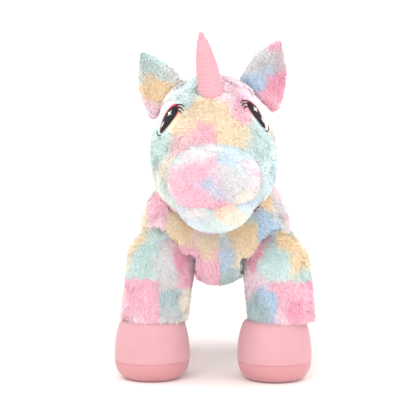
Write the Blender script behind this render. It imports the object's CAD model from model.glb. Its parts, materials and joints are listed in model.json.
# %% [markdown]
# A standing plush unicorn: patchwork fur covers over wads of fibre, smooth stuffed hooves, a horn
# wound with thread, and embroidered eyes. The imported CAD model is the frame: it says where each
# piece is and which body carries it, and this lesson sews the visible toy round it.

# %% Load the frame
import json
import math

import bmesh
import bpy
import numpy as np
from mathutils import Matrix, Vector
from mathutils.bvhtree import BVHTree


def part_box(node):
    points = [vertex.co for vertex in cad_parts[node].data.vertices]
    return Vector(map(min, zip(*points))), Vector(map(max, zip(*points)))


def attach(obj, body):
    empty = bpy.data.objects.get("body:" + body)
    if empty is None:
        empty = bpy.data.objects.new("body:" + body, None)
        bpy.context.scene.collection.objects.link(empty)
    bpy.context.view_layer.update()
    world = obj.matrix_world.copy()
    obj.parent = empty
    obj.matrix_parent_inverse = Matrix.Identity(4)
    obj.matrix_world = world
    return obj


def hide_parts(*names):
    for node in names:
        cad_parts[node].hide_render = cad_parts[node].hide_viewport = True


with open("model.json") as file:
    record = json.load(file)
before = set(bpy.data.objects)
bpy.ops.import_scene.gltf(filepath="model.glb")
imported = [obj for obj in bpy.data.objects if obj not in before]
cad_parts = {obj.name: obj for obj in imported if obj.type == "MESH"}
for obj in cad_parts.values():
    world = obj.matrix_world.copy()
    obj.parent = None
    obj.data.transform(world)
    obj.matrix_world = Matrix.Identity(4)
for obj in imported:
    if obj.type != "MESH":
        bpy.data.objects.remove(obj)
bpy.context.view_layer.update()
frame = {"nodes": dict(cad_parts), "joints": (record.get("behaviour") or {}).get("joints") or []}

MM = 0.001
MIDLINE = 2.5  # mm to the animal's left, where the line that the dye clouds are measured from stands


# %% [markdown]
# The camera comes first, because every later look is judged through it. A toy this size is shot
# from two metres with a longish lens, from a hand's breadth above its chest and a touch to one
# side, so the face stays round and the hooves don't loom.

# %% Camera
AIM = Vector((-0.0095, -0.119, 0.274))
TURN, RAISE, AWAY = math.radians(2.5), math.radians(4.0), 2.0
LENS = 108.2

camera_data = bpy.data.cameras.new("camera")
camera_data.lens = LENS
camera = bpy.data.objects.new("camera", camera_data)
bpy.context.collection.objects.link(camera)
back = Vector((math.sin(TURN) * math.cos(RAISE), -math.cos(TURN) * math.cos(RAISE), math.sin(RAISE)))
camera.location = AIM + AWAY * back
camera.rotation_euler = (-back).to_track_quat("-Z", "Y").to_euler()
bpy.context.scene.camera = camera


# %% [markdown]
# The pastel dyes. Fur fabric of this kind is dyed in soft-edged clouds that run into each other,
# so the colours are named once here and every panel lists where its clouds sit.

# %% Dyes
DYES = {
    "pink": (0.99, 0.54, 0.67),
    "rose": (0.92, 0.37, 0.52),
    "blush": (1.0, 0.76, 0.84),
    "coral": (1.0, 0.68, 0.72),
    "mint": (0.62, 0.80, 0.78),
    "aqua": (0.73, 0.90, 0.89),
    "teal": (0.47, 0.64, 0.65),
    "butter": (0.97, 0.81, 0.58),
    "gold": (1.0, 0.77, 0.48),
    "peach": (0.97, 0.76, 0.57),
    "cream": (0.97, 0.88, 0.76),
    "sky": (0.54, 0.73, 0.90),
    "haze": (0.69, 0.83, 0.92),
    "pearl": (0.80, 0.785, 0.80),
    "grey": (0.75, 0.72, 0.73),
    "white": (0.90, 0.89, 0.895),
    "lilac": (0.74, 0.64, 0.85),
}


def waves(points, size, seed, count=7):
    """Smooth noise of about -1 to 1, from a few sine waves of one size in random directions."""
    random = np.random.default_rng(seed)
    ways = random.normal(size=(count, 3))
    ways /= np.linalg.norm(ways, axis=1, keepdims=True)
    ways *= 2 * math.pi / size * random.uniform(0.7, 1.4, (count, 1))
    turns = random.uniform(0, 2 * math.pi, count)
    return np.sin(points @ ways.T + turns).sum(1) / math.sqrt(count)


def clouds(points, spots, soften=0.24, wander=0.008, seed=5):
    """The dye at each point: each spot is (dye, (x, y, z) in mm, size in mm), and they run together."""
    points = points - np.array([MIDLINE * MM, 0, 0])
    drift = np.stack([waves(points, 0.045, seed + k) for k in range(3)], 1) * wander
    drift += np.stack([waves(points, 0.015, seed + 7 + k) for k in range(3)], 1) * wander * 0.4
    places = np.array([s[1] for s in spots], float) * MM
    sizes = np.array([s[2] for s in spots], float) * MM
    colours = np.array([DYES[s[0]] for s in spots])
    apart = np.linalg.norm((points + drift)[:, None, :] - places[None], axis=2) / sizes[None]
    apart -= apart.min(1, keepdims=True)
    share = np.exp(-apart / soften)
    share /= share.sum(1, keepdims=True)
    return share @ colours


# %% [markdown]
# Pile. Real fur fabric is a knitted backing with thousands of soft strands standing in it, which
# gather in little tufts and lean the way the cloth was brushed. Hair particles would draw this
# too, but they aren't mesh and don't travel with the model, so one flat strand with a pointed tip
# is made here and repeated over each cover as real faces.

# %% One strand
def cut_strand():
    """A strip of two cells whose far end is drawn to a point: rows of (across, along), and its faces."""
    bm = bmesh.new()
    bmesh.ops.create_grid(bm, x_segments=1, y_segments=2, size=0.5)
    tips = [v for v in bm.verts if v.co.y > 0.4]
    bmesh.ops.pointmerge(bm, verts=tips, merge_co=Vector((0, 0.5, 0)))
    bm.verts.ensure_lookup_table()
    bm.verts.index_update()
    shape = np.array([(v.co.x, v.co.y + 0.5) for v in bm.verts])
    faces = [[v.index for v in f.verts] for f in bm.faces]
    bm.free()
    return shape, faces


STRAND, STRAND_FACES = cut_strand()
print("strand", len(STRAND), "corners", len(STRAND_FACES), "faces")


# %% Tufts
def tufts(points, size, seed):
    """For each point, the middle of the tuft that it belongs to and a number from 0 to 1 for that tuft."""
    cell = np.floor(points / size).astype(np.int64)
    nearest = np.full(len(points), np.inf)
    middle, number = np.zeros_like(points), np.zeros(len(points))
    for step in np.ndindex(3, 3, 3):
        c = cell + np.array(step) - 1
        key = (c[:, 0] * 73856093) ^ (c[:, 1] * 19349663) ^ (c[:, 2] * 83492791) ^ (seed * 2654435)
        key = (key & 0xFFFFFF).astype(np.float64)
        spread = [np.modf(np.abs(np.sin(key * f)) * 43758.5453)[0] for f in (0.731, 1.117, 1.913)]
        q = (c + 0.15 + 0.7 * np.stack(spread, 1)) * size
        far = ((points - q) ** 2).sum(1)
        closer = far < nearest
        nearest[closer], middle[closer], number[closer] = far[closer], q[closer], spread[0][closer]
    return middle, number


# %% Sew the pile into a cover
def unit(v):
    return v / np.maximum(np.linalg.norm(v, axis=1, keepdims=True), 1e-9)


def mesh_arrays(mesh):
    """Corners, triangles and corner normals of a mesh as arrays."""
    mesh.calc_loop_triangles()
    co = np.empty(len(mesh.vertices) * 3)
    mesh.vertices.foreach_get("co", co)
    tri = np.empty(len(mesh.loop_triangles) * 3, np.int64)
    mesh.loop_triangles.foreach_get("vertices", tri)
    no = np.empty(len(mesh.vertices) * 3)
    mesh.vertices.foreach_get("normal", no)
    return co.reshape(-1, 3), tri.reshape(-1, 3), no.reshape(-1, 3)


def sew_pile(skin, furred, dye_at, pile):
    """Strands over the furred corners of a skin: places, faces, dyes and normals."""
    random = np.random.default_rng(pile["seed"])
    co, tri, no = mesh_arrays(skin)
    tri = tri[furred[tri].all(1)]
    a, b, c = co[tri[:, 0]], co[tri[:, 1]], co[tri[:, 2]]
    area = np.linalg.norm(np.cross(b - a, c - a), axis=1) / 2
    count = min(int(area.sum() / (pile["gap"] * MM) ** 2), pile.get("most", 62000))
    at = np.searchsorted(np.cumsum(area) / area.sum(), (np.arange(count) + random.random(count)) / count)
    at = np.minimum(at, len(tri) - 1)
    u, v = random.random((2, count))
    flip = u + v > 1
    u[flip], v[flip] = 1 - u[flip], 1 - v[flip]
    w = 1 - u - v
    mix = lambda x: w[:, None] * x[tri[at, 0]] + u[:, None] * x[tri[at, 1]] + v[:, None] * x[tri[at, 2]]
    root, out = mix(co), unit(mix(no))
    middle, number = tufts(root, pile.get("tuft", 4.5) * MM, pile["seed"])
    swirl = np.stack([waves(middle, 0.035, pile["seed"] + k) for k in range(3)], 1)
    way = pile["comb"](root) if callable(pile["comb"]) else np.array(pile["comb"], float)[None]
    way = way + pile.get("swirl", 0.7) * swirl + 0.35 * random.normal(size=(count, 3))
    way = unit(way - (way * out).sum(1, keepdims=True) * out)
    long = pile["long"] * MM * random.uniform(0.75, 1.15, count) * (0.88 + 0.24 * number)
    if "shorten" in pile:
        long *= pile["shorten"](root)
    lean = pile.get("lean", 0.75) * random.uniform(0.75, 1.25, count)
    inwards = middle - root
    inwards -= (inwards * out).sum(1, keepdims=True) * out
    first = np.cos(lean)[:, None] * out + np.sin(lean)[:, None] * way
    second = np.cos(lean * 1.7)[:, None] * out + np.sin(lean * 1.7)[:, None] * way
    knee = root - 0.6 * MM * out + first * (long * 0.5)[:, None] + 0.25 * inwards
    tip = knee + second * (long * 0.5)[:, None] + pile.get("gather", 0.25) * inwards
    across = unit(np.cross(first, out) + 0.35 * random.normal(size=(count, 3)))
    across *= np.where((np.cross(across, first) * out).sum(1, keepdims=True) < 0, -1, 1)
    wide = pile.get("wide", 1.1) * MM * random.uniform(0.7, 1.3, count)
    line = np.stack([root - 0.6 * MM * out, knee, tip], 1)
    row = np.rint(STRAND[:, 1] * 2).astype(int)
    places = line[:, row, :] + (STRAND[:, 0] * np.array([1.0, 0.85, 0.0])[row])[None, :, None] * (
        across * wide[:, None]
    )[:, None, :]
    tint = dye_at(root + random.normal(size=(count, 3)) * 1.4 * MM)
    shade = (0.97 + 0.06 * number + random.uniform(-0.04, 0.04, count))[:, None]
    tint = np.clip(tint * shade, 0, 1)
    tint += (1 - tint) * np.clip(0.22 * random.normal(size=(count, 1)), 0, 0.5)
    pale = tint + (1 - tint) * 0.25
    dyes = np.stack([tint * 0.9, tint, pale], 1)[:, row, :]
    low, high = unit(np.cross(across, first)), unit(np.cross(across, second))
    high *= np.where((high * out).sum(1, keepdims=True) < 0, -1, 1)
    normals = unit(np.stack([low, low + high, high], 1) + 0.3 * out[:, None, :])[:, row, :]
    return places.reshape(-1, 3), count, dyes.reshape(-1, 3), normals.reshape(-1, 3)


# %% Join skin and pile in one piece
def fur_piece(name, skin, furred, dye_at, pile, flat):
    """One cover: its backing and its pile as one mesh. flat names the two axes that its map is laid on."""
    places, count, dyes, normals = sew_pile(skin, furred, dye_at, pile)
    co, tri, no = mesh_arrays(skin)
    backing = dye_at(co) * 0.92
    corner = len(STRAND)
    first = len(co) + corner * np.arange(count)
    loops, sizes = [tri.ravel()], [np.full(len(tri), 3)]
    pattern = np.concatenate([np.array(f) for f in STRAND_FACES])
    loops.append((first[:, None] + pattern[None]).ravel())
    sizes.append(np.tile([len(f) for f in STRAND_FACES], count))
    loops, sizes = np.concatenate(loops), np.concatenate(sizes)
    every = np.concatenate([co, places])
    mesh = bpy.data.meshes.new(name)
    mesh.vertices.add(len(every))
    mesh.vertices.foreach_set("co", every.astype(np.float32).ravel())
    mesh.loops.add(len(loops))
    mesh.loops.foreach_set("vertex_index", loops.astype(np.int32))
    mesh.polygons.add(len(sizes))
    mesh.polygons.foreach_set("loop_start", np.concatenate([[0], np.cumsum(sizes)[:-1]]).astype(np.int32))
    mesh.update(calc_edges=True)
    dye = mesh.attributes.new("dye", "FLOAT_COLOR", "POINT")
    colour = np.ones((len(every), 4), np.float32)
    colour[:, :3] = np.concatenate([backing, dyes])
    dye.data.foreach_set("color", colour.ravel())
    lay_map(mesh, every, loops, len(co), corner, flat)
    mesh.normals_split_custom_set_from_vertices(np.concatenate([no, normals]).tolist())
    piece = bpy.data.objects.new(name, mesh)
    bpy.context.collection.objects.link(piece)
    print(name, "strands", count)
    return piece


def lay_map(mesh, every, loops, skin_corners, corner, flat):
    """Each strand is laid on the map at its root, a hair wide, so that the map shows the skin's dyes."""
    low, high = every[:, flat].min(0), every[:, flat].max(0)
    on_map = (every[:, flat] - low) / (high - low) * 0.96 + 0.02
    roots = on_map[skin_corners:].reshape(-1, corner, 2)
    spread = np.stack([STRAND[:, 0], STRAND[:, 1]], 1) * 0.004
    on_map[skin_corners:] = (roots[:, :1, :] + spread[None]).reshape(-1, 2)
    layer = mesh.uv_layers.new(name="OFBake")
    layer.data.foreach_set("uv", on_map[loops].astype(np.float32).ravel())


# %% [markdown]
# Skins. Each CAD cover is a smooth shell as thick as backing and pile together. A cover's skin is
# that shell remeshed to an even net, with its outside sunk by the length of the pile, so that the
# strands' tips end where the CAD surface is. Vertices that lie far from the stuffing are outside.

# %% Skins from the covers
def copied(node, name):
    """The node's mesh with its loose triangles merged, as a new object."""
    bm = bmesh.new()
    bm.from_mesh(frame["nodes"][node].data)
    bmesh.ops.remove_doubles(bm, verts=bm.verts, dist=0.02 * MM)
    mesh = bpy.data.meshes.new(name)
    bm.to_mesh(mesh)
    bm.free()
    piece = bpy.data.objects.new(name, mesh)
    bpy.context.collection.objects.link(piece)
    return piece


def remeshed(piece, voxel):
    """The piece's mesh rebuilt as an even net."""
    net = piece.modifiers.new("net", "REMESH")
    net.mode, net.voxel_size, net.use_smooth_shade = "VOXEL", voxel * MM, True
    graph = bpy.context.evaluated_depsgraph_get()
    mesh = bpy.data.meshes.new_from_object(piece.evaluated_get(graph))
    piece.modifiers.clear()
    piece.data = mesh
    return piece


def tree_of(*nodes):
    """A search tree over the nodes' surfaces."""
    corners, faces = [], []
    for node in nodes:
        co, tri, _ = mesh_arrays(frame["nodes"][node].data)
        faces.extend((tri + len(corners)).tolist())
        corners.extend(co.tolist())
    return BVHTree.FromPolygons(corners, faces)


def towards(points, tree):
    """For each point, how far the surface of the tree is and the way there."""
    near = [tree.find_nearest(p) for p in points.tolist()]
    way = np.array([n[0] for n in near]) - points
    return np.array([n[3] for n in near]), unit(way)


SEAM_SWELL = 1.1  # mm that a cover's edge presses against its neighbour in the seam


def sunk_skin(
    node, stuffing, name, sink=5.5, voxel=3.5, thick=8.0, ease=1.0, smooth=1, edge=0.12, shape=None
):
    """The node's cover as a thin skin, reshaped by shape; also which of its corners carry pile."""
    piece = remeshed(copied(node, name), voxel)
    co, _, no = mesh_arrays(piece.data)
    over, inwards = np.full(len(co), 99.0), -no
    if stuffing:
        over, inwards = towards(co, tree_of(*stuffing))
        over = over / MM
    outside = np.clip((over - ease - thick * 0.35) / (thick * 0.5), 0, 1)
    outside = outside * outside * (3 - 2 * outside)
    wall = np.clip(1.6 - 2 * np.abs((no * inwards).sum(1)), 0, 1) * (over < 90)
    co = co + inwards * (outside * sink * MM)[:, None] + no * (wall * SEAM_SWELL * MM)[:, None]
    if shape:
        co = shape(co)
    piece.data.vertices.foreach_set("co", co.astype(np.float32).ravel())
    piece.data.update()
    bm = bmesh.new()
    bm.from_mesh(piece.data)
    for _ in range(smooth):
        bmesh.ops.smooth_vert(
            bm, verts=bm.verts, factor=0.5, use_axis_x=True, use_axis_y=True, use_axis_z=True
        )
    bm.to_mesh(piece.data)
    bm.free()
    return piece, over > ease + thick * edge


# %% Fur fabric
def plush(name, rough=0.9, sheen=0.35, grain=0.12):
    """Fur fabric: the dye at each strand, with a fine mottle, a soft sheen and hardly any shine."""
    material = bpy.data.materials.new(name)
    material.use_nodes = True
    nodes, links = material.node_tree.nodes, material.node_tree.links
    shader = nodes["Principled BSDF"]
    dye = nodes.new("ShaderNodeAttribute")
    dye.attribute_name = "dye"
    place = nodes.new("ShaderNodeTexCoord")
    mottle = nodes.new("ShaderNodeTexNoise")
    mottle.inputs["Scale"].default_value = 260.0
    mottle.inputs["Detail"].default_value = 2.0
    level = nodes.new("ShaderNodeMapRange")
    level.inputs["To Min"].default_value = 1 - grain
    level.inputs["To Max"].default_value = 1 + grain * 0.5
    tone = nodes.new("ShaderNodeVectorMath")
    tone.operation = "SCALE"
    links.new(place.outputs["Object"], mottle.inputs["Vector"])
    links.new(mottle.outputs["Fac"], level.inputs["Value"])
    links.new(dye.outputs["Color"], tone.inputs[0])
    links.new(level.outputs["Result"], tone.inputs["Scale"])
    links.new(tone.outputs["Vector"], shader.inputs["Base Color"])
    shader.inputs["Roughness"].default_value = rough
    shader.inputs["Specular IOR Level"].default_value = 0.15
    shader.inputs["Sheen Weight"].default_value = sheen
    shader.inputs["Sheen Roughness"].default_value = 0.5
    return material


FUR = plush("plush fur")


def carried(piece, body, *nodes, slot="body_fur", fill=0.8, material=None):
    """The piece stands for its nodes, rides on its body and is a stuffed piece."""
    piece.data.materials.clear()
    piece.data.materials.append(material or FUR)
    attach(piece, body)
    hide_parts(*nodes)
    return piece


# %% Sew one cover
def spotted(*spots):
    """Dyes for a whole panel from its clouds."""
    return lambda points: clouds(points, spots)


def split_at(height, above, below, wander=0.0015):
    """Two dyed pieces of fabric that meet in a seam at a height, in mm."""

    def dye_at(points):
        over = points[:, 2] + wander * waves(points, 0.03, 3) > height * MM
        return np.where(over[:, None], above(points), below(points))

    return dye_at


def tucked_under(co):
    """The underside of the body is drawn up round its edges between the legs, as the stuffing leaves it."""
    low = np.clip((TUCK_TOP - co[:, 2] / MM) / 40, 0, 1)
    aside = np.clip((np.abs(co[:, 0] / MM - TUCK_MIDDLE) - 12) / 45, 0, 1)
    ahead = np.clip((-co[:, 1] / MM - 40) / 60, 0, 1)
    lifted = co.copy()
    lifted[:, 2] += low * (2 - low) * aside**1.3 * (6 + 14 * ahead) * MM
    return lifted


TUCK_TOP, TUCK_MIDDLE = 195.0, 8.5


def sew_cover(node, body, stuffing, dye_at, pile, flat=(0, 2), slot="body_fur", **skin_facts):
    """A CAD cover becomes a skin with pile on it, carried by its body."""
    skin, furred = sunk_skin(node, stuffing, f"{node}_skin", **skin_facts)
    piece = fur_piece(f"{node}_plush", skin.data, furred, dye_at, pile, list(flat))
    bpy.data.objects.remove(skin)
    return carried(piece, body, node, slot=slot)


# %% [markdown]
# The face is two panels that meet in a seam from the horn to the muzzle. Each was cut from a
# different place in the dyed cloth, so the clouds stop short at the seam.

# %% Face
HEAD_WADS = ["head_stuffing", "muzzle_stuffing", "chin_stuffing"]
EYE_PLACES = [(75.5, -222, 426), (-67.5, -229, 417)]


def trimmed_at_eyes(points):
    """Pile is held down by the stitches: short on the eyes, and full again a little way off."""
    share = np.ones(len(points))
    for place in EYE_PLACES:
        away = points / MM - np.array(place)
        side = math.copysign(1, place[0])
        along = (-side * away[:, 0] * 0.56 + away[:, 2] * 0.83) / 27
        across = (side * away[:, 0] * 0.83 + away[:, 2] * 0.56) / 16
        share = np.minimum(share, 0.2 + 0.8 * np.clip((np.hypot(along, across) - 1) * 3, 0, 1))
    return share


FACE_PILE = {"seed": 11, "gap": 1.05, "long": 7.5, "comb": (0, 0.25, -0.6), "swirl": 0.8, "lean": 0.7}
FACE_PILE["shorten"] = trimmed_at_eyes
FACE_LEFT = spotted(
    ("blush", (36, -214, 458), 32),
    ("pink", (44, -226, 434), 20),
    ("blush", (62, -215, 440), 16),
    ("butter", (4, -246, 432), 20),
    ("cream", (88, -185, 448), 22),
    ("cream", (92, -185, 410), 18),
    ("butter", (22, -256, 402), 26),
    ("mint", (66, -225, 386), 26),
    ("aqua", (78, -205, 358), 28),
    ("haze", (78, -200, 335), 20),
    ("cream", (98, -170, 378), 16),
    ("haze", (60, -120, 470), 26),
    ("pink", (75, -100, 420), 34),
    ("butter", (80, -130, 340), 30),
    ("sky", (30, -90, 450), 34),
    ("mint", (50, -70, 400), 34),
)
FACE_RIGHT = spotted(
    ("white", (-72, -194, 454), 26),
    ("aqua", (-38, -214, 461), 24),
    ("butter", (-18, -248, 428), 26),
    ("pink", (-14, -260, 396), 22),
    ("coral", (-36, -245, 382), 20),
    ("butter", (-46, -240, 408), 18),
    ("mint", (-84, -212, 382), 28),
    ("mint", (-95, -192, 345), 26),
    ("cream", (-64, -235, 352), 15),
    ("cream", (-86, -194, 318), 16),
    ("butter", (-58, -130, 482), 26),
    ("pink", (-90, -110, 430), 34),
    ("haze", (-85, -110, 370), 34),
    ("white", (-30, -90, 440), 34),
    ("pink", (-50, -70, 400), 34),
)
sew_cover("face_panel_left", "head", HEAD_WADS, FACE_LEFT, FACE_PILE, (1, 2))
sew_cover("face_panel_right", "head", HEAD_WADS, FACE_RIGHT, {**FACE_PILE, "seed": 12}, (1, 2))


# %% [markdown]
# The muzzle is a round ball of shorter pile, brushed away from the seam down its middle, and the
# chin is the lower third of that ball, under the mouth's crease.

# %% Muzzle and chin
SNOUT = (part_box("muzzle_stuffing")[0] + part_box("muzzle_stuffing")[1]) / 2


def outwards_from_seam(points):
    """Brushed sideways, away from the middle of the muzzle."""
    side = np.tanh((points[:, 0] - SNOUT.x) / 0.05) + 0.5 * waves(points, 0.03, 9)
    return np.stack([side, np.full(len(points), 0.3), np.full(len(points), -0.25)], 1)


MUZZLE_PILE = {"seed": 21, "gap": 0.95, "long": 6.5, "comb": outwards_from_seam, "swirl": 0.45, "lean": 0.85}
MUZZLE = spotted(
    ("sky", (-2, -304, 313), 13),
    ("haze", (26, -290, 354), 18),
    ("haze", (40, -270, 370), 14),
    ("pearl", (30, -300, 326), 22),
    ("blush", (62, -275, 334), 14),
    ("pink", (12, -296, 288), 15),
    ("blush", (36, -290, 290), 11),
    ("cream", (52, -284, 306), 12),
    ("white", (-8, -280, 378), 15),
    ("aqua", (-38, -265, 374), 14),
    ("aqua", (-62, -262, 350), 13),
    ("aqua", (-74, -258, 325), 11),
    ("pink", (-32, -299, 330), 28),
    ("pink", (-4, -300, 350), 12),
    ("pink", (-28, -295, 298), 20),
)
CHIN = spotted(
    ("peach", (22, -284, 280), 17),
    ("cream", (38, -275, 272), 14),
    ("aqua", (24, -265, 256), 16),
    ("haze", (55, -255, 290), 18),
    ("haze", (5, -250, 246), 22),
    ("white", (-28, -280, 278), 20),
    ("mint", (-6, -286, 284), 12),
    ("aqua", (-4, -270, 257), 18),
    ("haze", (-20, -265, 262), 16),
    ("haze", (-55, -255, 290), 18),
)
for word, seed in (("left", 21), ("right", 22)):
    pile = {**MUZZLE_PILE, "seed": seed}
    sew_cover(f"muzzle_panel_{word}", "head", HEAD_WADS, MUZZLE, pile, (0, 2), "muzzle_fur", sink=4.5)
CHIN_PILE = {**MUZZLE_PILE, "comb": (0, 0.5, -0.7)}
for word, seed in (("left", 23), ("right", 24)):
    pile = {**CHIN_PILE, "seed": seed}
    sew_cover(f"chin_panel_{word}", "head", HEAD_WADS, CHIN, pile, (0, 2), "muzzle_fur", sink=4.5)


# %% [markdown]
# Neck, chest, sides and belly. The nap runs back and down over the body, and down the chest.

# %% Body covers
BODY_PILE = {"seed": 31, "gap": 1.35, "long": 9.0, "comb": (0, 0.5, -0.8)}
BODY_PILE.update({"swirl": 0.6, "lean": 0.85, "wide": 1.4})
CHEST_PILE = {**BODY_PILE, "seed": 32, "gap": 1.1, "comb": (0, 0.2, -1.0), "wide": 1.1}
NECK = spotted(
    ("pink", (-93, -110, 285), 24),
    ("blush", (-84, -110, 250), 20),
    ("cream", (-100, -60, 256), 24),
    ("gold", (82, -125, 312), 18),
    ("pink", (74, -122, 280), 14),
    ("grey", (98, -100, 278), 20),
    ("sky", (80, -115, 250), 18),
    ("pink", (100, -60, 300), 22),
    ("mint", (60, -60, 380), 36),
    ("haze", (-60, -60, 380), 36),
    ("butter", (0, -30, 360), 36),
    ("pink", (0, -60, 410), 30),
)
CHEST_LEFT = spotted(
    ("haze", (8, -162, 232), 14),
    ("sky", (12, -162, 205), 15),
    ("gold", (42, -155, 236), 22),
    ("butter", (44, -155, 208), 16),
    ("mint", (60, -140, 268), 14),
    ("teal", (24, -150, 168), 17),
    ("aqua", (55, -140, 180), 14),
)
CHEST_RIGHT = spotted(
    ("butter", (-60, -150, 257), 18),
    ("gold", (-40, -157, 244), 17),
    ("blush", (-22, -160, 234), 13),
    ("butter", (-14, -160, 218), 16),
    ("pink", (-6, -160, 184), 19),
    ("pink", (-38, -155, 200), 15),
    ("lilac", (-32, -150, 176), 9),
)
SIDE_LEFT = spotted(
    ("grey", (108, -90, 262), 22),
    ("sky", (84, -114, 250), 16),
    ("gold", (80, -115, 305), 16),
    ("pink", (125, -50, 262), 16),
    ("pink", (110, -55, 310), 22),
    ("aqua", (110, 0, 300), 40),
    ("butter", (122, 40, 230), 40),
    ("pink", (90, 70, 310), 42),
    ("haze", (122, 110, 260), 38),
    ("mint", (80, 160, 310), 40),
    ("butter", (60, 220, 270), 34),
    ("pink", (90, 205, 220), 30),
    ("aqua", (30, 20, 335), 36),
    ("cream", (20, 100, 335), 34),
    ("sky", (30, 235, 220), 30),
)
SIDE_RIGHT = spotted(
    ("pink", (-93, -110, 272), 18),
    ("blush", (-88, -112, 248), 14),
    ("cream", (-117, -78, 256), 20),
    ("butter", (-120, -70, 238), 20),
    ("mint", (-118, -10, 290), 38),
    ("pink", (-124, 40, 240), 38),
    ("butter", (-90, 60, 315), 42),
    ("aqua", (-122, 105, 250), 36),
    ("blush", (-90, 150, 310), 40),
    ("sky", (-70, 215, 275), 34),
    ("mint", (-92, 205, 215), 30),
    ("pink", (-30, 30, 335), 34),
    ("haze", (-20, 110, 335), 34),
    ("cream", (-30, 235, 220), 30),
)
BELLY = spotted(
    ("butter", (0, -80, 145), 45),
    ("cream", (0, 0, 145), 40),
    ("pink", (0, 80, 145), 40),
    ("aqua", (60, 20, 150), 30),
    ("blush", (-60, 20, 150), 30),
    ("haze", (0, 160, 150), 45),
)
sew_cover("neck_cover", "neck", ["neck_stuffing"], NECK, {**BODY_PILE, "seed": 33}, (0, 2))
for number, (node, dye_at, pile, flat) in enumerate(
    [
        ("chest_panel_left", CHEST_LEFT, CHEST_PILE, (0, 2)),
        ("chest_panel_right", CHEST_RIGHT, CHEST_PILE, (0, 2)),
        ("torso_side_left", SIDE_LEFT, BODY_PILE, (1, 2)),
        ("torso_side_right", SIDE_RIGHT, BODY_PILE, (1, 2)),
        ("belly_panel", BELLY, BODY_PILE, (0, 1)),
    ]
):
    pile = {**pile, "seed": 34 + number}
    sew_cover(node, "torso", ["torso_stuffing"], dye_at, pile, flat, voxel=4.0, shape=tucked_under)


# %% [markdown]
# Legs. Each is a stuffed tube of an outer and an inner panel. The front pair shows a seam a
# hand's breadth above the hoof where a different piece of the dyed cloth was let in.

# %% Leg covers
LEG_PILE = {"seed": 41, "gap": 1.15, "long": 8.5, "comb": (0, 0, -1.0), "swirl": 0.7, "lean": 0.8}
LEG_DYES = {
    "front_right_leg_outer_panel": split_at(
        166,
        spotted(
            ("butter", (-128, -125, 215), 20),
            ("mint", (-102, -160, 205), 26),
            ("mint", (-122, -155, 178), 22),
            ("pearl", (-84, -168, 192), 11),
            ("cream", (-140, -110, 180), 18),
            ("aqua", (-110, -70, 200), 30),
        ),
        spotted(
            ("pink", (-112, -165, 140), 30),
            ("blush", (-122, -165, 110), 16),
            ("cream", (-150, -110, 130), 18),
            ("butter", (-120, -70, 130), 30),
        ),
    ),
    "front_right_leg_inner_panel": split_at(
        150,
        spotted(
            ("pearl", (-76, -168, 190), 15),
            ("rose", (-52, -160, 190), 14),
            ("pink", (-38, -140, 170), 16),
            ("grey", (-70, -168, 166), 11),
            ("mint", (-50, -70, 200), 26),
        ),
        spotted(
            ("teal", (-64, -166, 132), 17),
            ("grey", (-70, -166, 110), 12),
            ("cream", (-38, -130, 135), 16),
            ("mint", (-50, -70, 130), 26),
        ),
    ),
    "front_left_leg_outer_panel": split_at(
        163,
        spotted(
            ("gold", (106, -150, 226), 16),
            ("mint", (98, -164, 205), 18),
            ("gold", (130, -158, 194), 17),
            ("aqua", (110, -168, 182), 15),
            ("mint", (142, -150, 168), 14),
            ("cream", (140, -80, 200), 24),
            ("haze", (110, -60, 190), 24),
        ),
        spotted(
            ("pink", (124, -165, 145), 24),
            ("rose", (130, -165, 124), 12),
            ("blush", (100, -168, 106), 13),
            ("pink", (145, -110, 130), 26),
            ("butter", (120, -60, 130), 26),
        ),
    ),
    "front_left_leg_inner_panel": spotted(
        ("mint", (88, -166, 205), 15),
        ("aqua", (88, -168, 184), 14),
        ("rose", (64, -150, 202), 13),
        ("blush", (58, -140, 165), 16),
        ("pink", (94, -168, 158), 10),
        ("sky", (90, -168, 132), 15),
        ("teal", (66, -152, 120), 12),
        ("lilac", (92, -168, 106), 9),
        ("mint", (70, -60, 170), 28),
    ),
}
HIND_DYES = {
    "hind_left_leg_outer_panel": spotted(
        ("mint", (140, 110, 200), 34), ("pink", (145, 110, 140), 26), ("butter", (110, 165, 170), 26)
    ),
    "hind_left_leg_inner_panel": spotted(
        ("butter", (60, 100, 190), 30), ("haze", (60, 80, 130), 26), ("pink", (70, 160, 150), 22)
    ),
    "hind_right_leg_outer_panel": spotted(
        ("pink", (-140, 110, 200), 34), ("aqua", (-145, 110, 140), 26), ("cream", (-110, 165, 170), 26)
    ),
    "hind_right_leg_inner_panel": spotted(
        ("haze", (-60, 100, 190), 30), ("pink", (-60, 80, 130), 26), ("mint", (-70, 160, 150), 22)
    ),
}
LEG_DYES.update(HIND_DYES)
for count, (node, dye_at) in enumerate(LEG_DYES.items()):
    leg = "_".join(node.split("_")[:3])
    sew_cover(node, leg, [f"{leg}_stuffing"], dye_at, {**LEG_PILE, "seed": 41 + count}, (1, 2))


# %% [markdown]
# The ears are two leaves of fur cloth with a thin pad between, closed into a cup: the rim rolls
# forwards and the hollow sinks. All three layers are bent by one rule, so they never cross.

# %% Ears
def joint(name):
    """Where a joint turns, and its axis."""
    found = next(j for j in frame["joints"] if j["name"] == name)
    return Vector(found["pos_m"]), Vector(found["axis"]).normalized()


def farthest(node, place):
    """The corner of a node that is farthest from a place."""
    return max((Vector(v.co) for v in frame["nodes"][node].data.vertices), key=lambda v: (v - place).length)


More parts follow.
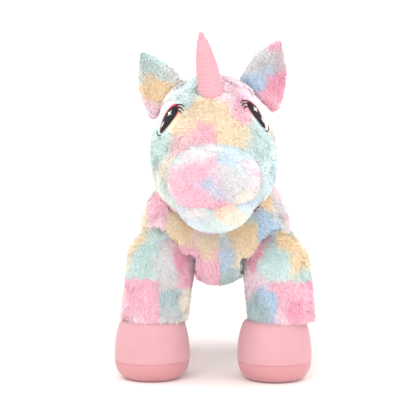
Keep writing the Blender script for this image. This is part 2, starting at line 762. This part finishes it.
def ear_cup(word, side):
    """A rule that bends the flat leaf into a cup, and the ear's own axes: foot, base, up and front."""
    foot, base = joint(f"{word}_ear_fold")
    base = base if base.x * side > 0 else -base
    tip = farthest(f"ear_{word}_padding", foot)
    front = base.cross(tip - foot).normalized()
    front = front if front.y < 0 else -front
    up = front.cross(base).normalized()
    up = up if up.dot(tip - foot) > 0 else -up
    tall = (tip - foot).dot(up)
    lean = (tip - foot).dot(base) / tall

    def bend(co):
        away = co - np.array(foot)
        along, high = away @ np.array(base), away @ np.array(up)
        share = np.clip(high / tall, 0, 1)
        half = 38 * MM * (1 - share) ** 0.8 + 4 * MM
        across = (along - lean * high) / half
        hollow = -EAR_HOLLOW * MM * np.clip(1 - across**2, 0, 1) * np.sin(math.pi * np.clip(share, 0, 0.9))
        rim = EAR_RIM * MM * np.exp(-(((across * -1 - 0.8) / 0.35) ** 2)) * np.clip(share * 3, 0, 1)
        bent = co + (hollow + rim)[:, None] * np.array(front)
        grown = 1 + (EAR_GROWN[word] - 1) * np.clip(high / tall * 2, 0, 1)
        return np.array(foot) + (bent - np.array(foot)) * grown[:, None] + np.array(EAR_MOVED[word]) * MM

    return bend, foot, up


def sew_ear_foot(word, cup, foot, up, dye_at):
    """The pad inside the ear. Its rolled foot, where the ear is sewn to the head, is covered in fur."""
    name = f"ear_{word}_padding"
    pad = remeshed(copied(name, f"{name}_net"), 2.5)
    co, _, no = mesh_arrays(pad.data)
    high = (co - np.array(foot)) @ np.array(up) / MM
    sunk = np.clip((14 - high) / 4, 0, 1) * 2.0
    pad.data.vertices.foreach_set("co", cup(co - no * (sunk * MM)[:, None]).astype(np.float32).ravel())
    pad.data.update()
    pile = {**EAR_PILE, "seed": 63, "long": 8.0}
    piece = fur_piece(f"{name}_plush", pad.data, high < 12, dye_at, pile, [0, 2])
    bpy.data.objects.remove(pad)
    return carried(piece, f"{word}_ear", name, slot="ear_fur", fill=0.5)


EAR_HOLLOW, EAR_RIM = 8.0, 9.0
EAR_GROWN = {"left": 1.10, "right": 1.02}
EAR_MOVED = {"left": (6, 0, 0), "right": (5, 0, 0)}
EAR_DYES = {
    "right": spotted(
        ("mint", (-107, -150, 497), 15),
        ("aqua", (-84, -150, 490), 15),
        ("gold", (-97, -152, 462), 17),
        ("blush", (-107, -152, 432), 16),
        ("white", (-67, -149, 491), 13),
        ("cream", (-110, -150, 478), 7),
    ),
    "left": spotted(
        ("pearl", (72, -149, 505), 17),
        ("pink", (104, -149, 527), 11),
        ("grey", (87, -150, 500), 15),
        ("sky", (74, -151, 482), 15),
        ("rose", (99, -151, 472), 16),
        ("pink", (96, -151, 446), 15),
    ),
}
EAR_BACKS = {
    "right": spotted(
        ("mint", (-107, -140, 497), 20), ("haze", (-80, -140, 480), 22), ("pink", (-95, -140, 445), 24)
    ),
    "left": spotted(
        ("pearl", (72, -140, 505), 22), ("pink", (104, -140, 527), 14), ("sky", (92, -140, 470), 26)
    ),
}
EAR_PILE = {"seed": 61, "gap": 0.9, "long": 6.0, "comb": (0, 0, 1.0), "swirl": 0.5, "lean": 0.75, "wide": 1.0}
EAR_SKIN = {"sink": 3.0, "voxel": 2.5, "thick": 5.0, "ease": 0.3}
for word, side in (("left", 1), ("right", -1)):
    cup, foot, up = ear_cup(word, side)
    pad = [f"ear_{word}_padding"]
    sew_ear_foot(word, cup, foot, up, EAR_DYES[word])
    front, back_side = f"ear_{word}_front", f"ear_{word}_back"
    body, facts = f"{word}_ear", {**EAR_SKIN, "shape": cup}
    sew_cover(front, body, pad, EAR_DYES[word], EAR_PILE, (0, 2), "ear_fur", **facts)
    sew_cover(back_side, body, pad, EAR_BACKS[word], {**EAR_PILE, "seed": 62}, (0, 2), "ear_fur", **facts)


# %% [markdown]
# The horn is a cone of short-napped cloth, stuffed hard, with a thread wound round it from foot to
# tip and pulled tight. The thread lies in a crease, the cloth swells between the turns, and the
# last turns choke the tip to a nub. It is spun from its outline, and then creased along the helix.

# %% Short-napped cloth
def velboa(name, colour, warmth, scale=900.0):
    """Short-napped toy cloth: one dye with a faint cloudiness and a fine nap."""
    material = bpy.data.materials.new(name)
    material.use_nodes = True
    nodes, links = material.node_tree.nodes, material.node_tree.links
    shader = nodes["Principled BSDF"]
    place = nodes.new("ShaderNodeTexCoord")
    cloudy = nodes.new("ShaderNodeTexNoise")
    cloudy.inputs["Scale"].default_value = 22.0
    cloudy.inputs["Detail"].default_value = 4.0
    tone = nodes.new("ShaderNodeValToRGB")
    tone.color_ramp.elements[0].position, tone.color_ramp.elements[1].position = 0.3, 0.7
    tone.color_ramp.elements[0].color = (*warmth, 1)
    tone.color_ramp.elements[1].color = (*colour, 1)
    nap = nodes.new("ShaderNodeTexNoise")
    nap.inputs["Scale"].default_value = scale
    nap.inputs["Detail"].default_value = 2.0
    raised = nodes.new("ShaderNodeBump")
    raised.inputs["Strength"].default_value = 0.35
    raised.inputs["Distance"].default_value = 0.0006
    for noise in (cloudy, nap):
        links.new(place.outputs["Object"], noise.inputs["Vector"])
    links.new(cloudy.outputs["Fac"], tone.inputs["Fac"])
    links.new(tone.outputs["Color"], shader.inputs["Base Color"])
    links.new(nap.outputs["Fac"], raised.inputs["Height"])
    links.new(raised.outputs["Normal"], shader.inputs["Normal"])
    shader.inputs["Roughness"].default_value = 0.85
    shader.inputs["Specular IOR Level"].default_value = 0.2
    shader.inputs["Sheen Weight"].default_value = 0.3
    shader.inputs["Sheen Roughness"].default_value = 0.4
    return material


def shaded_smooth(bm):
    for face in bm.faces:
        face.smooth = True


def piece_from(bm, name, material):
    """The bmesh as a finished object with its material."""
    shaded_smooth(bm)
    mesh = bpy.data.meshes.new(name)
    bm.to_mesh(mesh)
    bm.free()
    piece = bpy.data.objects.new(name, mesh)
    bpy.context.collection.objects.link(piece)
    piece.data.materials.append(material)
    return piece


# %% Horn
HORN_CLOTH = velboa("horn cloth", (0.65, 0.345, 0.395), (0.61, 0.31, 0.355))
THREAD = velboa("horn thread", (0.60, 0.29, 0.34), (0.56, 0.26, 0.31))
# (height, radius) in mm, from the hidden foot to the nub
HORN_OUTLINE = [
    (-13, 0), (-13, 11), (-8, 17), (0, 18.6), (9, 19.0), (24, 18.4), (42, 16.7), (56, 14.5), (69, 12.0),
    (79, 9.6), (84.5, 8.2), (86.5, 7.2), (87.5, 5.6), (89, 4.9), (93, 4.8), (96, 4.0), (97.4, 2.0), (97.8, 0),
]
HORN_STEP, HORN_SIDES = 0.7, 72
TURN_PITCH, CREASE_DEEP, CREASE_WIDE = 6.0, 0.7, 1.6


def outline_points(outline, step):
    """The outline as evenly spaced (height, radius) points."""
    z, r = np.array(outline, float).T
    run = np.concatenate([[0], np.cumsum(np.hypot(np.diff(z), np.diff(r)))])
    at = np.linspace(0, run[-1], int(run[-1] / step))
    z, r = np.interp(at, run, z), np.interp(at, run, r)
    soft = np.array([0.25, 0.5, 0.25])
    for _ in range(3):
        z[1:-1], r[1:-1] = np.convolve(z, soft, "valid"), np.convolve(r, soft, "valid")
    return z, r


def crease_at(height, turned):
    """How deep the thread pulls the cloth in, from 0 to 1."""
    turn = height / TURN_PITCH - turned / (2 * math.pi)
    off = (turn - np.round(turn)) * TURN_PITCH
    return np.exp(-((off / CREASE_WIDE) ** 2))


def seat_on(piece, place, axis):
    """The piece, drawn along Z at the origin, is stood at a place along an axis."""
    turn = axis.to_track_quat("Z", "Y").to_matrix().to_4x4()
    turn.translation = place
    piece.data.transform(turn)
    return piece


horn_foot = joint("horn_bend")[0]
horn_way = (farthest("horn_cover", horn_foot) - horn_foot).normalized()
bm = bmesh.new()
line = [bm.verts.new((r * MM, 0, z * MM)) for z, r in zip(*outline_points(HORN_OUTLINE, HORN_STEP))]
edges = [bm.edges.new(pair) for pair in zip(line, line[1:])]
bmesh.ops.spin(
    bm, geom=line + edges, cent=(0, 0, 0), axis=(0, 0, 1), angle=2 * math.pi, steps=HORN_SIDES, use_merge=True
)
bmesh.ops.remove_doubles(bm, verts=bm.verts, dist=0.02 * MM)
bmesh.ops.recalc_face_normals(bm, faces=bm.faces)
co = np.array([v.co for v in bm.verts])
turned = np.arctan2(co[:, 1], co[:, 0])
round_ = np.hypot(co[:, 0], co[:, 1])
fade = np.clip((co[:, 2] / MM - 1) / 5, 0, 1) * np.clip((98 - co[:, 2] / MM) / 6, 0, 1)
pulled = crease_at(co[:, 2] / MM + 0.5 * waves(co, 0.02, 71), turned) * fade * CREASE_DEEP * MM
gathers = 0.18 * MM * np.sin(turned * 23 + 2 * waves(co, 0.015, 72)) * fade
shrink = 1 - np.clip((pulled + gathers) / np.maximum(round_, 1e-6), -0.5, 0.5)
for vert, share in zip(bm.verts, shrink):
    vert.co.x *= share
    vert.co.y *= share
horn = seat_on(piece_from(bm, "horn_cover_wound", HORN_CLOTH), horn_foot, horn_way)
carried(horn, "horn", "horn_cover", slot="horn_fabric", fill=0.95, material=HORN_CLOTH)
print("horn", len(horn.data.polygons))


# %% Horn thread
def cord_piece(name, runs, material, sides=6):
    """Round cords as one mesh: each run is a list of (place, radius)."""
    curve = bpy.data.curves.new(name, "CURVE")
    curve.dimensions, curve.bevel_depth, curve.bevel_resolution = "3D", 1.0, max(0, sides // 2 - 2)
    curve.use_fill_caps = True
    for run in runs:
        spline = curve.splines.new("POLY")
        spline.points.add(len(run) - 1)
        for point, (place, radius) in zip(spline.points, run):
            point.co, point.radius = (*place, 1), radius
    drawn = bpy.data.objects.new(name, curve)
    mesh = bpy.data.meshes.new_from_object(drawn)
    bpy.data.objects.remove(drawn)
    mesh.name = name
    piece = bpy.data.objects.new(name, mesh)
    bpy.context.collection.objects.link(piece)
    for face in mesh.polygons:
        face.use_smooth = True
    mesh.materials.clear()
    mesh.materials.append(material)
    return piece


z_line, r_line = outline_points(HORN_OUTLINE, HORN_STEP)
first = int(np.argmax(z_line > 0))
run = []
for k in range(16 * 28 + 1):
    height = 2.5 + k / 28 * TURN_PITCH
    if height > 93:
        break
    radius = np.interp(height, z_line[first:], r_line[first:]) - CREASE_DEEP - 0.05
    angle = 2 * math.pi * height / TURN_PITCH
    run.append((Vector((radius * math.cos(angle), radius * math.sin(angle), height)) * MM, 0.25 * MM))
thread = seat_on(cord_piece("horn_thread_wound", [run], THREAD), horn_foot, horn_way)
thread.data.materials[0] = THREAD
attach(thread, "horn")
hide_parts("horn_thread")
print("thread", len(thread.data.polygons))


# %% [markdown]
# Hooves. Each is a bag of short-napped cloth with a bowl-shaped sole sewn on low down, and it is
# stuffed until it is tight. The bag is cut from the stuffing's shape, eased outwards by a fixed
# amount, drawn in along its seams, and then parted at the sole seam. A cloth simulation under
# pressure 4 was tried here, but it moved the bags by less than a hundredth of a millimetre, so
# this shape isn't a simulated one.

# %% Hoof covers
HOOF_SEAM = 30.0  # mm from the floor to the sole's seam
HOOF_EASE = 2.2  # mm that the cloth stands off the stuffing
SOLE_GROOVE, SIDE_GROOVE = (0.6, 1.6), (0.5, 1.2)  # mm deep and wide, where a seam draws the cloth in
HOOF_CLOTH = velboa("hoof cloth", (0.585, 0.325, 0.355), (0.55, 0.295, 0.32))
SOLE_CLOTH = velboa("sole cloth", (0.565, 0.275, 0.295), (0.53, 0.245, 0.265))


def parted(piece, name, height, keep_above, material):
    """The part of a closed mesh above or below a height, closed again."""
    bm = bmesh.new()
    bm.from_mesh(piece.data)
    cut = bmesh.ops.bisect_plane(
        bm,
        geom=bm.verts[:] + bm.edges[:] + bm.faces[:],
        plane_co=(0, 0, height),
        plane_no=(0, 0, 1),
        clear_inner=keep_above,
        clear_outer=not keep_above,
    )
    rim = [e for e in bm.edges if e.is_boundary]
    bmesh.ops.contextual_create(bm, geom=rim)
    bmesh.ops.triangulate(bm, faces=[f for f in bm.faces if len(f.verts) > 4])
    return piece_from(bm, name, material)


for leg in ("front_left", "front_right", "hind_left", "hind_right"):
    bag = remeshed(copied(f"{leg}_hoof_stuffing", f"{leg}_bag"), 5.0)
    co, _, no = mesh_arrays(bag.data)
    lifted = co + no * (HOOF_EASE * MM)
    lifted[:, 2] = np.maximum(lifted[:, 2], 0.0)
    bag.data.vertices.foreach_set("co", lifted.astype(np.float32).ravel())
    bag.data.update()
    middle = (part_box(f"{leg}_hoof_cover")[0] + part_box(f"{leg}_hoof_cover")[1]) / 2
    net = bag.modifiers.new("round", "SUBSURF")
    net.levels = net.render_levels = 1
    smooth = bpy.data.meshes.new_from_object(bag.evaluated_get(bpy.context.evaluated_depsgraph_get()))
    bag.modifiers.clear()
    bag.data = smooth
    co, _, no = mesh_arrays(smooth)
    groove = SOLE_GROOVE[0] * np.exp(-(((co[:, 2] - HOOF_SEAM * MM) / (SOLE_GROOVE[1] * MM)) ** 2))
    beside = np.exp(-(((co[:, 0] - middle.x) / (SIDE_GROOVE[1] * MM)) ** 2))
    groove += SIDE_GROOVE[0] * beside * (co[:, 2] > HOOF_SEAM * MM)
    co = co - no * (groove * MM)[:, None]
    co[:, 2] = np.maximum(co[:, 2], 0.0)
    smooth.vertices.foreach_set("co", co.astype(np.float32).ravel())
    smooth.update()
    cover = parted(bag, f"{leg}_hoof_cover_stuffed", HOOF_SEAM * MM + 0.0001, True, HOOF_CLOTH)
    sole = parted(bag, f"{leg}_hoof_sole_stuffed", HOOF_SEAM * MM - 0.0001, False, SOLE_CLOTH)
    bpy.data.objects.remove(bag)
    carried(cover, f"{leg}_leg", f"{leg}_hoof_cover", slot="hoof_fabric", fill=0.95, material=HOOF_CLOTH)
    carried(sole, f"{leg}_leg", f"{leg}_hoof_sole", slot="sole_fabric", fill=0.95, material=SOLE_CLOTH)
    print(leg, "hoof", len(cover.data.polygons), "sole", len(sole.data.polygons))


# %% [markdown]
# The eyes are machine embroidery: satin stitch in black over a pink under-layer that shows as a
# rim along the upper edge, with a white star and a white glint on top. The stitches hold the pile
# down, so each layer is a low pillow that follows the head's own curve. Lashes are single cords.

# %% Embroidery
def satin(name, colour, turn, gloss=0.45):
    """Satin stitch: one colour with fine parallel ribs of thread."""
    material = bpy.data.materials.new(name)
    material.use_nodes = True
    nodes, links = material.node_tree.nodes, material.node_tree.links
    shader = nodes["Principled BSDF"]
    place = nodes.new("ShaderNodeTexCoord")
    ribs = nodes.new("ShaderNodeTexWave")
    ribs.wave_type, ribs.bands_direction = "BANDS", turn
    ribs.inputs["Scale"].default_value = 420.0
    ribs.inputs["Distortion"].default_value = 1.5
    ribs.inputs["Detail"].default_value = 1.0
    raised = nodes.new("ShaderNodeBump")
    raised.inputs["Strength"].default_value = 0.4
    raised.inputs["Distance"].default_value = 0.0003
    links.new(place.outputs["Object"], ribs.inputs["Vector"])
    links.new(ribs.outputs["Fac"], raised.inputs["Height"])
    links.new(raised.outputs["Normal"], shader.inputs["Normal"])
    shader.inputs["Base Color"].default_value = (*colour, 1)
    shader.inputs["Roughness"].default_value = gloss
    shader.inputs["Specular IOR Level"].default_value = 0.18
    return material


EYE_BLACK = satin("black thread", (0.012, 0.011, 0.013), "Z", 0.5)
EYE_PINK = satin("coral thread", (0.72, 0.07, 0.16), "X")
EYE_WHITE = satin("white thread", (0.85, 0.85, 0.87), "Z")
SKULL = tree_of("head_stuffing")
EYE_OVER = 4.6  # mm that the lowest layer of stitches lies over the stuffing


def on_skull(centre, look, place, lift):
    """The place in the eye's plane, dropped onto the head along look, and lifted lift mm over it."""
    hit, normal, _, _ = SKULL.ray_cast(place + look * 0.08, -look)
    if hit is None:
        hit, normal, _, _ = SKULL.find_nearest(place)
    return hit + normal * (lift * MM)


def eye_axes(middle, aside):
    """The eye's middle, the way it looks, its long way (up and in) and its across way (up and out)."""
    hit, normal, _, _ = SKULL.find_nearest(Vector(middle) * MM)
    look = normal.normalized()
    inwards = Vector((-aside, 0, 0))
    long_way = (inwards * EYE_RAKE[0] + Vector((0, 0, 1)) * EYE_RAKE[1])
    long_way = (long_way - look * long_way.dot(look)).normalized()
    across = look.cross(long_way) * (1 if look.cross(long_way).x * aside > 0 else -1)
    return hit, look, long_way, across


def pillow(name, axes, outline, lift, thick, material, rings=8):
    """A closed low pillow of stitches. outline is a ring of (along, across) in mm round its own middle."""
    centre, look, long_way, across = axes
    ring = np.array(outline)
    middle = ring.mean(0)
    bm = bmesh.new()
    bmesh.ops.create_uvsphere(bm, u_segments=len(ring), v_segments=rings, radius=1.0)
    for vert in bm.verts:
        turn = math.atan2(vert.co.y, vert.co.x) / (2 * math.pi) * len(ring)
        low, share = math.floor(turn), turn - math.floor(turn)
        edge = ring[low % len(ring)] * (1 - share) + ring[(low + 1) % len(ring)] * share
        out = math.sqrt(max(0.0, 1 - min(1.0, abs(vert.co.z)) ** 2))
        a, b = middle + (edge - middle) * out
        place = centre + (long_way * a + across * b) * MM
        height = lift + thick * (0.5 + 0.5 * math.copysign(abs(vert.co.z) ** 0.7, vert.co.z))
        vert.co = on_skull(centre, look, place, height)
    bmesh.ops.recalc_face_normals(bm, faces=bm.faces)
    return piece_from(bm, name, material)


def teardrop(half_long, half_wide, along=0.0, across=0.0, point=0.42, count=40):
    """An oval whose far end is wide and whose near end is drawn narrow."""
    ring = []
    for k in range(count):
        turn = 2 * math.pi * k / count
        a = math.cos(turn)
        b = math.sin(turn) * (1 - point * (1 - a) / 2 * 1.1)
        ring.append((along + half_long * a, across + half_wide * b))
    return ring


def star(radius, along, across, waist=0.32):
    """A star of four points."""
    ring = []
    for k in range(24):
        turn = 2 * math.pi * k / 24
        near = abs(((turn / (math.pi / 2)) + 0.5) % 1 - 0.5) * 2
        r = radius * (waist + (1 - waist) * (1 - near) ** 2.2)
        ring.append((along + r * math.cos(turn), across + r * math.sin(turn)))
    return ring


def lash(axes, points, thick, lift):
    """A cord of thread through (along, across) points, finest at its tip."""
    centre, look, long_way, across = axes
    a, b = np.array(points, float).T
    at, steps = np.linspace(0, 1, len(points)), np.linspace(0, 1, 14)
    a, b = np.interp(steps, at, a), np.interp(steps, at, b)
    soft = np.array([0.25, 0.5, 0.25])
    for _ in range(3):
        a[1:-1], b[1:-1] = np.convolve(a, soft, "valid"), np.convolve(b, soft, "valid")
    run = []
    for k, (u, v) in enumerate(zip(a, b)):
        place = centre + (long_way * float(u) + across * float(v)) * MM
        swell = math.sin(math.pi * (0.12 + 0.80 * (1 - k / 13))) ** 0.7
        run.append((on_skull(centre, look, place, lift), thick * MM * swell))
    return run


EYE_RAKE = (0.56, 0.83)  # how far the long way leans in towards the nose, and up
EYES = {"left": ((75.5, -222, 426), 1, 1.0), "right": ((-67.5, -229, 417.3), -1, 1.25)}
LASHES = [
    [(19, 2), (25, -2), (28, -8), (27, -15)],
    [(18, -3), (22.5, -7), (24, -12), (22, -18)],
    [(14.5, -7), (18, -10.5), (19, -14.5), (17, -18.5)],
    [(-25, -6), (-28, -2), (-27.5, 4), (-22, 11)],
]


def joined(name, pieces):
    """Several pieces as one mesh that keeps each one's material."""
    bm = bmesh.new()
    materials = []
    for piece in pieces:
        bm.from_mesh(piece.data)
        bm.faces.ensure_lookup_table()
        first = len(bm.faces) - len(piece.data.polygons)
        for face in bm.faces[first:]:
            face.material_index = len(materials)
        materials.append(piece.data.materials[0])
        bpy.data.objects.remove(piece)
    mesh = bpy.data.meshes.new(name)
    bm.to_mesh(mesh)
    bm.free()
    for material in materials:
        mesh.materials.append(material)
    whole = bpy.data.objects.new(name, mesh)
    bpy.context.collection.objects.link(whole)
    return whole


for word, (middle, aside, fat) in EYES.items():
    axes = eye_axes(middle, aside)
    rim = pillow(f"{word}_rim", axes, teardrop(24.3, 12.6 * fat, 1.2, 1.4), EYE_OVER, 1.6, EYE_PINK)
    oval, drop = teardrop(22.6, 10.8 * fat, -0.6, -0.5), teardrop(5.0, 1.3, -11.0, 2.4, 0.3, 16)
    black = pillow(f"{word}_black", axes, oval, EYE_OVER + 0.3, 2.2, EYE_BLACK)
    glint = pillow(f"{word}_glint", axes, drop, EYE_OVER + 1.9, 1.1, EYE_WHITE)
    spark = pillow(f"{word}_spark", axes, star(5.2, 8.0, 1.4), EYE_OVER + 1.9, 1.1, EYE_WHITE)
    eye = joined(f"eye_{word}_embroidery_stitched", [rim, black, glint, spark])
    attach(eye, "head")
    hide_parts(f"eye_{word}_embroidery")
    runs = [lash(axes, points, 1.0, EYE_OVER + 2.8) for points in LASHES]
    lashes = cord_piece(f"eye_{word}_lashes_stitched", runs, EYE_BLACK)
    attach(lashes, "head")
    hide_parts(f"eye_{word}_lashes")
    print(eye.name, len(eye.data.polygons), lashes.name, len(lashes.data.polygons))


# %% [markdown]
# Mane and tail. The mane is two thin padded strips of longer pile sewn along the middle, behind the
# horn and down the neck. The tail is a stuffed tuft of the same long pile, and hangs from the rump.

# %% Mane and tail
MANE = spotted(
    ("haze", (10, -160, 495), 26),
    ("sky", (18, -120, 480), 26),
    ("aqua", (0, -90, 470), 26),
    ("blush", (0, -40, 400), 30),
    ("haze", (0, -20, 360), 26),
)
TAIL = spotted(
    ("pink", (-12, 262, 262), 26),
    ("haze", (14, 275, 225), 24),
    ("aqua", (-14, 280, 195), 22),
    ("butter", (6, 276, 165), 20),
    ("blush", (0, 268, 138), 20),
)


def back_and_down(points):
    """The mane falls away from the middle, backwards and down."""
    return np.stack([np.tanh(points[:, 0] / 0.01), np.full(len(points), 0.7), np.full(len(points), -0.5)], 1)


MANE_PILE = {"seed": 71, "gap": 1.3, "long": 13.0, "comb": back_and_down}
MANE_PILE.update({"swirl": 0.5, "lean": 0.9, "wide": 1.4})
TAIL_PILE = {"seed": 73, "gap": 1.5, "long": 15.0, "comb": (0, 0.1, -1.0)}
TAIL_PILE.update({"swirl": 0.45, "lean": 0.95, "wide": 1.5})
sew_cover("poll_mane", "head", [], MANE, MANE_PILE, (0, 1), "mane_fur", sink=3.0)
sew_cover("neck_mane", "neck", [], MANE, {**MANE_PILE, "seed": 72}, (0, 2), "mane_fur", sink=3.0)
sew_cover("tail_cover", "tail", ["tail_stuffing"], TAIL, TAIL_PILE, (0, 2), "mane_fur", thick=6.0, sink=3.0)


# %% [markdown]
# Inside every cover is a wad of white polyester fibre. It is never seen, so each wad is kept
# light: an even net over the CAD shape with the lumps that teased fibre settles into.

# %% Wads of fibre
def fibre(name):
    """White teased fibre."""
    material = bpy.data.materials.new(name)
    material.use_nodes = True
    nodes, links = material.node_tree.nodes, material.node_tree.links
    shader = nodes["Principled BSDF"]
    place = nodes.new("ShaderNodeTexCoord")
    tufted = nodes.new("ShaderNodeTexNoise")
    tufted.inputs["Scale"].default_value = 90.0
    tufted.inputs["Detail"].default_value = 6.0
    tone = nodes.new("ShaderNodeValToRGB")
    tone.color_ramp.elements[0].color = (0.86, 0.84, 0.84, 1)
    tone.color_ramp.elements[1].color = (0.95, 0.95, 0.95, 1)
    raised = nodes.new("ShaderNodeBump")
    raised.inputs["Strength"].default_value = 0.6
    raised.inputs["Distance"].default_value = 0.002
    links.new(place.outputs["Object"], tufted.inputs["Vector"])
    links.new(tufted.outputs["Fac"], tone.inputs["Fac"])
    links.new(tone.outputs["Color"], shader.inputs["Base Color"])
    links.new(tufted.outputs["Fac"], raised.inputs["Height"])
    links.new(raised.outputs["Normal"], shader.inputs["Normal"])
    shader.inputs["Roughness"].default_value = 0.95
    return material


FIBRE = fibre("teased fibre")


def lumpy_wad(node, body, voxel=7.0, shape=None):
    """The node's wad as a light net, drawn in a little where the fibre has settled."""
    wad = remeshed(copied(node, f"{node}_wad"), voxel)
    co, _, no = mesh_arrays(wad.data)
    settled = 0.8 + 0.6 * waves(co, 0.05, 81) + 0.3 * waves(co, 0.018, 82)
    co = co - no * (np.clip(settled, 0.2, 2.4) * MM)[:, None]
    wad.data.vertices.foreach_set("co", (shape(co) if shape else co).astype(np.float32).ravel())
    wad.data.update()
    return carried(wad, body, node, slot="fibrefill", fill=0.9, material=FIBRE)


lumpy_wad("torso_stuffing", "torso", shape=tucked_under)
lumpy_wad("neck_stuffing", "neck")
for node in HEAD_WADS:
    lumpy_wad(node, "head")
lumpy_wad("horn_stuffing", "horn", 3.0)
lumpy_wad("tail_stuffing", "tail", 4.0)
for leg in ("front_left", "front_right", "hind_left", "hind_right"):
    lumpy_wad(f"{leg}_leg_stuffing", f"{leg}_leg")
    lumpy_wad(f"{leg}_hoof_stuffing", f"{leg}_leg", 6.0)


# %% Light and floor
def softbox(name, place, aim, size, power):
    data = bpy.data.lights.new(name, "AREA")
    data.shape, data.size, data.size_y, data.energy = "RECTANGLE", size[0], size[1], power
    lamp = bpy.data.objects.new(name, data)
    bpy.context.collection.objects.link(lamp)
    lamp.location = place
    lamp.rotation_euler = (Vector(aim) - Vector(place)).to_track_quat("-Z", "Y").to_euler()
    return lamp


softbox("key light", (-0.6, -2.2, 1.9), (0, -0.1, 0.3), (1.6, 1.2), 15)
softbox("fill light", (1.8, -1.6, 1.0), (0, -0.1, 0.3), (1.4, 1.4), 7)
softbox("front light", (0.1, -2.8, 0.7), (0, -0.1, 0.25), (1.8, 1.0), 8)
world = bpy.data.worlds.new("studio")
world.use_nodes = True
world.node_tree.nodes["Background"].inputs["Color"].default_value = (1.0, 0.985, 0.975, 1)
world.node_tree.nodes["Background"].inputs["Strength"].default_value = 1.25
bpy.context.scene.world = world
bpy.context.scene.view_settings.view_transform = "Standard"
bpy.context.scene.view_settings.exposure = 0.12

bm = bmesh.new()
bmesh.ops.create_grid(bm, x_segments=1, y_segments=1, size=6.0)
floor_mesh = bpy.data.meshes.new("floor")
bm.to_mesh(floor_mesh)
bm.free()
floor = bpy.data.objects.new("floor", floor_mesh)
bpy.context.collection.objects.link(floor)
paper = bpy.data.materials.new("pale paper")
paper.use_nodes = True
paper.node_tree.nodes["Principled BSDF"].inputs["Base Color"].default_value = (1.0, 0.955, 0.935, 1)
paper.node_tree.nodes["Principled BSDF"].inputs["Roughness"].default_value = 0.7
floor_mesh.materials.append(paper)
